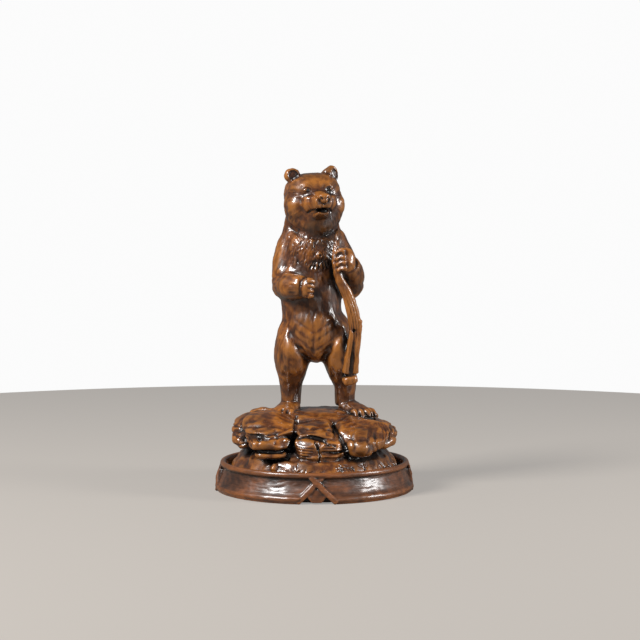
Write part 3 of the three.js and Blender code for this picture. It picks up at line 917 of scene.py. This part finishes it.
def patina_light_and_shade(piece, rubbing, light_and_shade_spots=()):
    """Marks where the surface is shut in, for stain in the hollows and painted shade, and where handling
    has worn it pale.

    The rubbing says how much a place is worn for each millimetre that it stands proud of what is round
    it. Each spot is a centre, a radius and a tone: painted shade or darker wood above nought, and
    painted light with paler wood below it.
    """
    surface = Surface(piece)
    # painted shade where the surface is shut in, together with the stain in the hollows
    shut = surface.spread(shut_in(piece), passes=6, keep=0.3)
    flat = surface.at.copy()
    for axis in range(3):
        flat[:, axis] = surface.spread(flat[:, axis], passes=9, keep=0.3)
    # high places come out pale as wear, and concave ones dark in the material, as stain in the hollows
    # and painted shade
    bulge = ((surface.at - flat) * surface.out).sum(1)
    worn_and_lit = surface.spread(np.clip(bulge * rubbing, -1, 1), passes=1, keep=0.5)
    # the given spots: painted shade and darker places where the tone is above nought, painted light and
    # paler wood where it is below
    for centre, radius, tone in light_and_shade_spots:
        gap = np.linalg.norm(surface.at - np.array(centre), axis=1)
        near = np.clip(2 * (radius - gap) / radius, 0, 1)
        shut = np.maximum(shut, tone * near)
        worn_and_lit += max(0, -tone) * near * (1 - np.clip(4 * shut, 0, 1))
    for name, values in (("shut_in", shut), ("worn_and_lit", 0.5 + 0.5 * worn_and_lit)):
        layer = piece.data.attributes.new(name, "FLOAT", "POINT")
        layer.data.foreach_set("value", values.astype(np.float32))


def finished(piece, name, node, material):
    """Brings a piece to metres and hands it to the frame."""
    piece.name = piece.data.name = name
    piece.data.transform(Matrix.Scale(MM, 4))
    piece.data.polygons.foreach_set("use_smooth", [True] * len(piece.data.polygons))
    piece.data.materials.clear()
    piece.data.materials.append(material)
    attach(piece, "root")
    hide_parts(node)
    print(name, sum(len(face.vertices) - 2 for face in piece.data.polygons), "triangles")


def carving():
    """The bear on its rocks: soft forms first, then the fine ones, the strokes, and the stain with
    painted light and shade.
    """
    soft = bmesh.new()
    bear_core(soft)
    placed(soft, head_core(), HEAD_PLACE)
    body = skin("soft_body", soft, SOFT_VOXEL, 18)
    fine = bmesh.new()
    mound(fine)
    rocks(fine)
    fine.from_mesh(body.data)
    bpy.data.objects.remove(body)
    placed(fine, head_detail(), HEAD_PLACE)
    paws(fine)
    foot(fine, (-22, 5), math.radians(-28), 26)
    foot(fine, (30, 5), math.radians(42), 30)
    branch(fine)
    made = skin("bear_carving", fine, FINE_VOXEL, 3)
    surface = Surface(made)
    carve_face(surface)
    carve_trunk(surface)
    carve_branch(surface)
    carve_rocks(surface)
    carve_mound(surface)
    fur_and_tool_marks(surface)
    lightened(made, CARVING_TRIANGLES)
    # pale on the left thigh, the branch, the belly and the right shoulder, as paler wood and painted
    # light, and painted shade below the right forearm and inside the left one, and darker on the right
    # shin and on the left boulder
    light_and_shade_spots = [
        ((24, -22, CROTCH + 14), 24, -0.95),
        ((36, -32, ELBOW - 24), 24, -0.85),
        ((34, -26, ELBOW - 66), 24, -0.8),
        ((0, -30, CROTCH + 30), 20, -0.25),
        ((-38, -6, SHOULDER - 18), 20, -0.3),
        ((-10, -26, ELBOW - 20), 24, 0.22),
        ((40, -24, ELBOW + 6), 26, 0.17),
        ((-24, -10, GROUND + 18), 24, 0.18),
        ((44, -52, 48), 30, 0.16),
        ((-19, -44, ELBOW - 10), 14, 0.2),
    ]
    # on the head: painted light on the forehead and the muzzle, darker on the crown and the pupils, and
    # painted shade on the throat and in the nostrils
    for place, radius, tone in (
        ((0, -22, 15), 14, -0.4),
        ((0, -34, 4), 12, -0.5),
        ((1, 0, 30), 28, 0.24),
        ((3, -24, -27), 26, 0.3),
        ((-10.4, -21.8, 9), 1.9, 1.0),
        ((10.4, -21.8, 9), 1.9, 1.0),
        ((-3.1, -45.6, 0.2), 1.4, 1.0),
        ((3.1, -45.6, 0.2), 1.4, 1.0),
    ):
        light_and_shade_spots.append((HEAD_PLACE @ Vector(place), radius, tone))
    patina_light_and_shade(made, rubbing=1.5, light_and_shade_spots=light_and_shade_spots)
    return made


# ---- The plinth ----


def panel_radius(height):
    """How far the plinth's panel face stands from its centre at a height."""
    rise = (height - BAND_HEIGHT) / (RIM_TOP - 4 - BAND_HEIGHT)
    rise = min(max(rise, 0.0), 1.0)
    return (PLINTH_RADIUS - 3) * (1 - rise) + (RIM_RADIUS - 3.5) * rise


def plinth_outline():
    """The plinth's profile from its underside up the band, the hollow panel and the rim to the tray."""
    outline = [(PLINTH_RADIUS - 1.5, 0)]
    for i in range(9):
        angle = -0.9 + 2.1 * i / 8
        outline.append((
            PLINTH_RADIUS - 3 + math.cos(angle) * 3,
            BAND_HEIGHT * 0.5 + math.sin(angle) * BAND_HEIGHT * 0.4,
        ))
    outline.append((panel_radius(BAND_HEIGHT + 1) - 0.3, BAND_HEIGHT + 1))
    for i in range(1, 6):
        height = BAND_HEIGHT + 1 + (RIM_TOP - 7 - BAND_HEIGHT) * i / 5
        outline.append((panel_radius(height) - 0.9 * math.sin(math.pi * i / 6), height))
    roll = RIM_WALL / 2
    for i in range(13):
        angle = -1.2 + (math.pi + 1.0) * i / 12
        out, up = math.cos(angle) * roll, math.sin(angle) * roll
        outline.append((RIM_RADIUS - roll + out, RIM_TOP - roll + up))
    outline.append((RIM_RADIUS - RIM_WALL - 0.4, TRAY_FLOOR))
    return outline


def wrapped(bm, own, angle):
    """Wraps a flat block of along, height and proud round the plinth's face, centred on an angle."""
    for vert in own.verts:
        along, height, proud = vert.co
        radius = panel_radius(height) + proud
        turn = angle + along / PLINTH_RADIUS
        vert.co = (math.cos(turn) * radius, math.sin(turn) * radius, height)
    placed(bm, own, Matrix())


def notches():
    """The openings under the crossed straps, to be cut from the turned body."""
    bm = bmesh.new()
    for angle in CROSSING_ANGLES:
        own = bmesh.new()
        flat = [(-STRAP_SPREAD, -1), (STRAP_SPREAD, -1), (STRAP_SPREAD, 3),
                (0, RIM_TOP - 8), (-STRAP_SPREAD, 3)]
        verts = [own.verts.new((x, z, -NOTCH_DEPTH)) for x, z in flat]
        face = own.faces.new(verts)
        grown = bmesh.ops.extrude_face_region(own, geom=[face])
        moved = [item for item in grown["geom"] if isinstance(item, bmesh.types.BMVert)]
        bmesh.ops.translate(own, verts=moved, vec=(0, 0, NOTCH_DEPTH + 6))
        bmesh.ops.subdivide_edges(own, edges=own.edges, cuts=2, use_grid_fill=True)
        bmesh.ops.recalc_face_normals(own, faces=own.faces)
        wrapped(bm, own, angle)
    return mesh_object("notches", bm)


def softened(own, width):
    """Rounds off every edge of a block."""
    bmesh.ops.bevel(own, geom=own.edges[:], offset=width, segments=3, profile=0.5, affect="EDGES",
                    material=-1)


def crossing(bm, angle):
    """Two straps crossed over a six-sided stud."""
    own = bmesh.new()
    stud = bmesh.ops.create_cone(own, cap_ends=True, segments=6, radius1=10.4, radius2=9.6,
                                 depth=NOTCH_DEPTH + 1.5)
    bmesh.ops.rotate(own, verts=stud["verts"], matrix=Matrix.Rotation(math.pi / 6, 3, "Z"))
    bmesh.ops.scale(own, verts=stud["verts"], vec=(1, 0.72, 1))
    bmesh.ops.translate(own, verts=stud["verts"], vec=(0, 7.3, -NOTCH_DEPTH / 2 + 0.2))
    softened(own, 0.8)
    wrapped(bm, own, angle)
    rise = RIM_TOP - 5
    lean = math.atan2(STRAP_SPREAD + STRAP_TOP_SPREAD, rise)
    for side in (-1, 1):
        own = bmesh.new()
        bar = bmesh.ops.create_cube(own, size=1)
        length = math.hypot(STRAP_SPREAD + STRAP_TOP_SPREAD, rise) + 1
        bmesh.ops.scale(own, verts=bar["verts"], vec=(STRAP_WIDTH, length, STRAP_DEPTH))
        softened(own, 1.3)
        # an edge across the middle, so that the strap bends round the plinth
        everything = own.verts[:] + own.edges[:] + own.faces[:]
        bmesh.ops.bisect_plane(own, geom=everything, plane_co=(0, 0, 0), plane_no=(0, 1, 0))
        bmesh.ops.rotate(own, verts=own.verts, matrix=Matrix.Rotation(-side * lean, 3, "Z"))
        proud = 0.1 if side < 0 else -0.9  # one strap passes over the other
        place = (side * (STRAP_TOP_SPREAD - STRAP_SPREAD) / 2, rise / 2 + 1.5, proud)
        bmesh.ops.translate(own, verts=own.verts, vec=place)
        wrapped(bm, own, angle)


def seated(surface):
    """Flattens the underside where it dips below the table."""
    surface.at[:, 2] = np.maximum(surface.at[:, 2], 0)
    surface.feel()


def plinth():
    """The turned plinth with its notches, studs and straps, and the turning lines round it."""
    bm = bmesh.new()
    turned_solid(bm, plinth_outline(), steps=240)
    body = mesh_object("plinth_body", bm)
    cutter = notches()
    modified(body, "BOOLEAN", object=cutter, operation="DIFFERENCE", solver="MANIFOLD")
    bpy.data.objects.remove(cutter)
    bm = bmesh.new()
    bm.from_mesh(body.data)
    bpy.data.objects.remove(body)
    for angle in CROSSING_ANGLES:
        crossing(bm, angle)
    made = skin("plinth_skin", bm, PLINTH_VOXEL, 1)
    surface = Surface(made)
    seated(surface)
    lie = np.stack([-surface.at[:, 1], surface.at[:, 0], 0 * surface.at[:, 2]], axis=1)
    lie /= np.linalg.norm(lie, axis=1)[:, None] + 1e-9
    grain = surface.combed(lie, 60, seed=21)
    scratches = surface.combed(lie, 10, seed=23)
    side = 1 - np.abs(surface.out[:, 2]) ** 2
    lines = 0.12 * np.tanh(grain) + 0.11 * np.tanh(scratches)
    surface.raised(side * (lines + 0.15 * surface.rolling(50, seed=22)))
    seated(surface)
    lightened(made, PLINTH_TRIANGLES)
    # stain in the hollows and painted shade in the notches, and pale wear on the high places
    patina_light_and_shade(made, rubbing=1.8)
    return made


# ---- Finishes ----


def linear(code):
    """A linear colour from an sRGB hex code."""
    parts = [int(code[i:i + 2], 16) / 255 for i in (1, 3, 5)]
    return (*(p / 12.92 if p <= 0.04045 else ((p + 0.055) / 1.055) ** 2.4 for p in parts), 1)


def add(tree, kind, settings=None, values=None, links=None):
    """Adds a node, with its settings, its sockets' values and what is linked into them."""
    made = tree.nodes.new(kind)
    for name, value in (settings or {}).items():
        setattr(made, name, value)
    for name, value in (values or {}).items():
        made.inputs[name].default_value = value
    for name, source in (links or {}).items():
        tree.links.new(source, made.inputs[name])
    return made


def stained_hardwood(
    name, pale, middle, dark, crevice, worn_and_lit, ring_width, pith, lean, grain, figured, haze
):
    """Stained and French-polished hardwood: growth rings and clouds of warm brown under a clear gloss.

    The hollows and the places shut in go nearly black, as stain that gathers there and as painted shade,
    and the high places go pale where handling has worn them and where painted light is given. The
    figured value says how plainly the rings show, and the haze is the roughness of the polish.
    """
    material = bpy.data.materials.new(name)
    material.use_nodes = True
    tree = material.node_tree
    shader = tree.nodes["Principled BSDF"]
    place = add(tree, "ShaderNodeTexCoord").outputs["Object"]
    turned = Euler(lean).to_matrix()
    shift = -(turned @ (Vector(pith) * MM))
    rings_place = add(tree, "ShaderNodeMapping", values={"Location": shift, "Rotation": lean},
                      links={"Vector": place})
    # growth rings: one light and one dark band in each ring width
    width_at_scale_1 = math.tau / 20
    rings = add(
        tree, "ShaderNodeTexWave",
        {"wave_type": "RINGS", "rings_direction": "Z", "wave_profile": "SIN"},
        {"Scale": width_at_scale_1 / (ring_width * MM), "Distortion": 4.2, "Detail": 3,
         "Detail Scale": 0.9, "Detail Roughness": 0.55},
        {"Vector": rings_place.outputs["Vector"]},
    )
    # summed with the rings: clouds of stain 25 mm across, pores as dashes along the grain, drawn 0.9 mm
    # wide because real ones are too fine to show, and mottling of 4 mm. The constant centres the sum.
    stretched = add(tree, "ShaderNodeMapping", values={"Scale": grain}, links={"Vector": place})
    mixed = add(tree, "ShaderNodeMath", {"operation": "MULTIPLY_ADD"},
                {1: figured, 2: -figured / 2 - 1.08}, {0: rings.outputs["Fac"]})
    patterns = []
    for source, size, detail, roughness, share in (
        (place, 25, 3, 0.6, 1.8),
        (stretched.outputs["Vector"], 0.9, 3, 0.7, 0.8),
        (place, 4, 4, 0.65, 0.5),
    ):
        values = {"Scale": 1 / (size * MM), "Detail": detail, "Roughness": roughness}
        noise = add(tree, "ShaderNodeTexNoise", values=values, links={"Vector": source})
        patterns.append(noise.outputs["Fac"])
        mixed = add(tree, "ShaderNodeMath", {"operation": "MULTIPLY_ADD"}, {1: share},
                    {0: patterns[-1], 2: mixed.outputs[0]})
    _, pores, mottle = patterns
    wood = add(tree, "ShaderNodeValToRGB", links={"Fac": mixed.outputs[0]})
    tones = wood.color_ramp.elements
    tones.new(0.5)
    for tone, place_on, colour in zip(tones, (0.05, 0.48, 1.0), (dark, middle, pale)):
        tone.position = place_on
        tone.color = linear(colour)
    shut = add(tree, "ShaderNodeAttribute", {"attribute_name": "shut_in"}).outputs["Fac"]
    high = add(tree, "ShaderNodeAttribute", {"attribute_name": "worn_and_lit"}).outputs["Fac"]
    # pale where handling has worn the high places, and on the spots given as painted light
    rubbed_and_lit = add(tree, "ShaderNodeMapRange", values={"From Min": 0.56, "From Max": 0.9, "To Max": 0.6},
                 links={"Value": high})
    paler = add(tree, "ShaderNodeMix", {"data_type": "RGBA"}, {"B": linear(worn_and_lit)},
                {"Factor": rubbed_and_lit.outputs["Result"], "A": wood.outputs["Color"]})
    # dark where the surface is concave, as stain in the hollows and painted shade
    groove = add(tree, "ShaderNodeMapRange", values={"From Min": 0.44, "From Max": 0.12, "To Max": 0.92},
                 links={"Value": high})
    # dark where the surface is shut in and on the spots given dark, as stain in the hollows and painted
    # shade
    hollow = add(tree, "ShaderNodeMapRange", values={"From Min": 0.06, "From Max": 0.42, "To Max": 0.97},
                 links={"Value": shut})
    stain_and_shade_share = add(tree, "ShaderNodeMath", {"operation": "MAXIMUM"},
                   links={0: groove.outputs["Result"], 1: hollow.outputs["Result"]})
    stained_and_shaded = add(tree, "ShaderNodeMix", {"data_type": "RGBA"}, {"B": linear(crevice)},
                  {"Factor": stain_and_shade_share.outputs[0], "A": paler.outputs["Result"]})
    tree.links.new(stained_and_shaded.outputs["Result"], shader.inputs["Base Color"])
    gloss = add(tree, "ShaderNodeMapRange", values={"To Min": 0.3, "To Max": 0.5},
                links={"Value": mottle})
    tree.links.new(gloss.outputs["Result"], shader.inputs["Roughness"])
    relief = add(tree, "ShaderNodeMath", {"operation": "MULTIPLY_ADD"}, {1: 0.5},
                 {0: mottle, 2: pores})
    bump = add(tree, "ShaderNodeBump", values={"Strength": 0.5, "Distance": 0.25 * MM},
               links={"Height": relief.outputs[0]})
    tree.links.new(bump.outputs["Normal"], shader.inputs["Normal"])
    shader.inputs["IOR"].default_value = 1.5
    shader.inputs["Coat Weight"].default_value = 0.7
    shader.inputs["Coat Roughness"].default_value = haze
    shader.inputs["Coat IOR"].default_value = 1.5
    return material


# ---- Stage ----


def stage():
    """A pale table, a key lamp high on the bear's right, two weaker lamps and a white backdrop."""
    bm = bmesh.new()
    bmesh.ops.create_circle(bm, cap_ends=True, segments=128, radius=1.0)
    floor = mesh_object("floor", bm)
    paper = bpy.data.materials.new("studio_paper")
    paper.use_nodes = True
    # a pale table to the eye, which throws little light back up
    sheet = paper.node_tree.nodes["Principled BSDF"]
    sheet.inputs["Base Color"].default_value = linear("#7C756D")
    sheet.inputs["Roughness"].default_value = 0.6
    sheet.inputs["Emission Color"].default_value = (1, 0.96, 0.92, 1)
    eye = add(paper.node_tree, "ShaderNodeLightPath").outputs["Is Camera Ray"]
    glow = add(paper.node_tree, "ShaderNodeMath", {"operation": "MULTIPLY"}, {1: 0.3}, {0: eye})
    paper.node_tree.links.new(glow.outputs[0], sheet.inputs["Emission Strength"])
    floor.data.materials.append(paper)
    for name, place, size, power in (
        ("key", (-1.15, -0.8, 1.3), 0.55, 46),
        ("fill", (0.62, -1.3, 0.5), 0.42, 0.8),
        ("edge", (1.25, -0.35, 0.5), 0.4, 15),
    ):
        lamp = bpy.data.lights.new(name, "AREA")
        lamp.energy = power
        lamp.size = size
        light = linked(name, lamp)
        light.location = place
        light.rotation_euler = (Vector((0, 0, 0.15)) - Vector(place)).to_track_quat("-Z", "Y").to_euler()
    world = bpy.data.worlds.new("studio")
    bpy.context.scene.world = world
    world.use_nodes = True
    tree = world.node_tree
    tree.nodes.clear()
    # the backdrop is white to the eye, faint in the polish, and lights the object hardly at all
    lit = add(tree, "ShaderNodeBackground", values={"Color": (1, 1, 1, 1), "Strength": 0.05})
    shown = add(tree, "ShaderNodeBackground", values={"Color": (1, 1, 1, 1), "Strength": 0.97})
    path = add(tree, "ShaderNodeLightPath").outputs
    eye = add(tree, "ShaderNodeMath", {"operation": "MULTIPLY_ADD"}, {1: 0.1},
              {0: path["Is Glossy Ray"], 2: path["Is Camera Ray"]})
    both = add(tree, "ShaderNodeMixShader",
               links={0: eye.outputs[0], 1: lit.outputs[0], 2: shown.outputs[0]})
    add(tree, "ShaderNodeOutputWorld", links={"Surface": both.outputs[0]})
    bpy.context.scene.view_settings.view_transform = "Standard"


def camera():
    """A long lens a little above the middle of the figure, looking slightly down."""
    data = bpy.data.cameras.new("camera")
    data.lens = 85
    data.sensor_width = 36
    made = linked("camera", data)
    made.location = (0.0052, -1.435, 0.240)
    made.rotation_euler = (math.radians(90 - 3.17), 0, 0)
    bpy.context.scene.camera = made


camera()
# in both woods the fifth colour goes into the hollows, as stain and painted shade, and the sixth onto
# the worn high places, and on the carving also onto the spots of painted light
carving_wood = stained_hardwood(
    "polished_carving_hardwood", "#AC661E", "#5A2E0F", "#241006", "#070302", "#B8742E",
    ring_width=5.6, pith=(1, 62, 150), lean=(math.radians(17), 0, 0), grain=(1, 1, 0.09),
    figured=0.18, haze=0.13,
)
plinth_wood = stained_hardwood(
    "polished_plinth_hardwood", "#864E2A", "#55321D", "#2C180E", "#0A0403", "#9E5C28",
    ring_width=7, pith=(0, 20, -60), lean=(0, math.radians(88), 0), grain=(0.07, 0.07, 1),
    figured=0.1, haze=0.22,
)
finished(carving(), "bear_carving", "bear_on_rocks", carving_wood)
finished(plinth(), "plinth_turning", "plinth", plinth_wood)
stage()
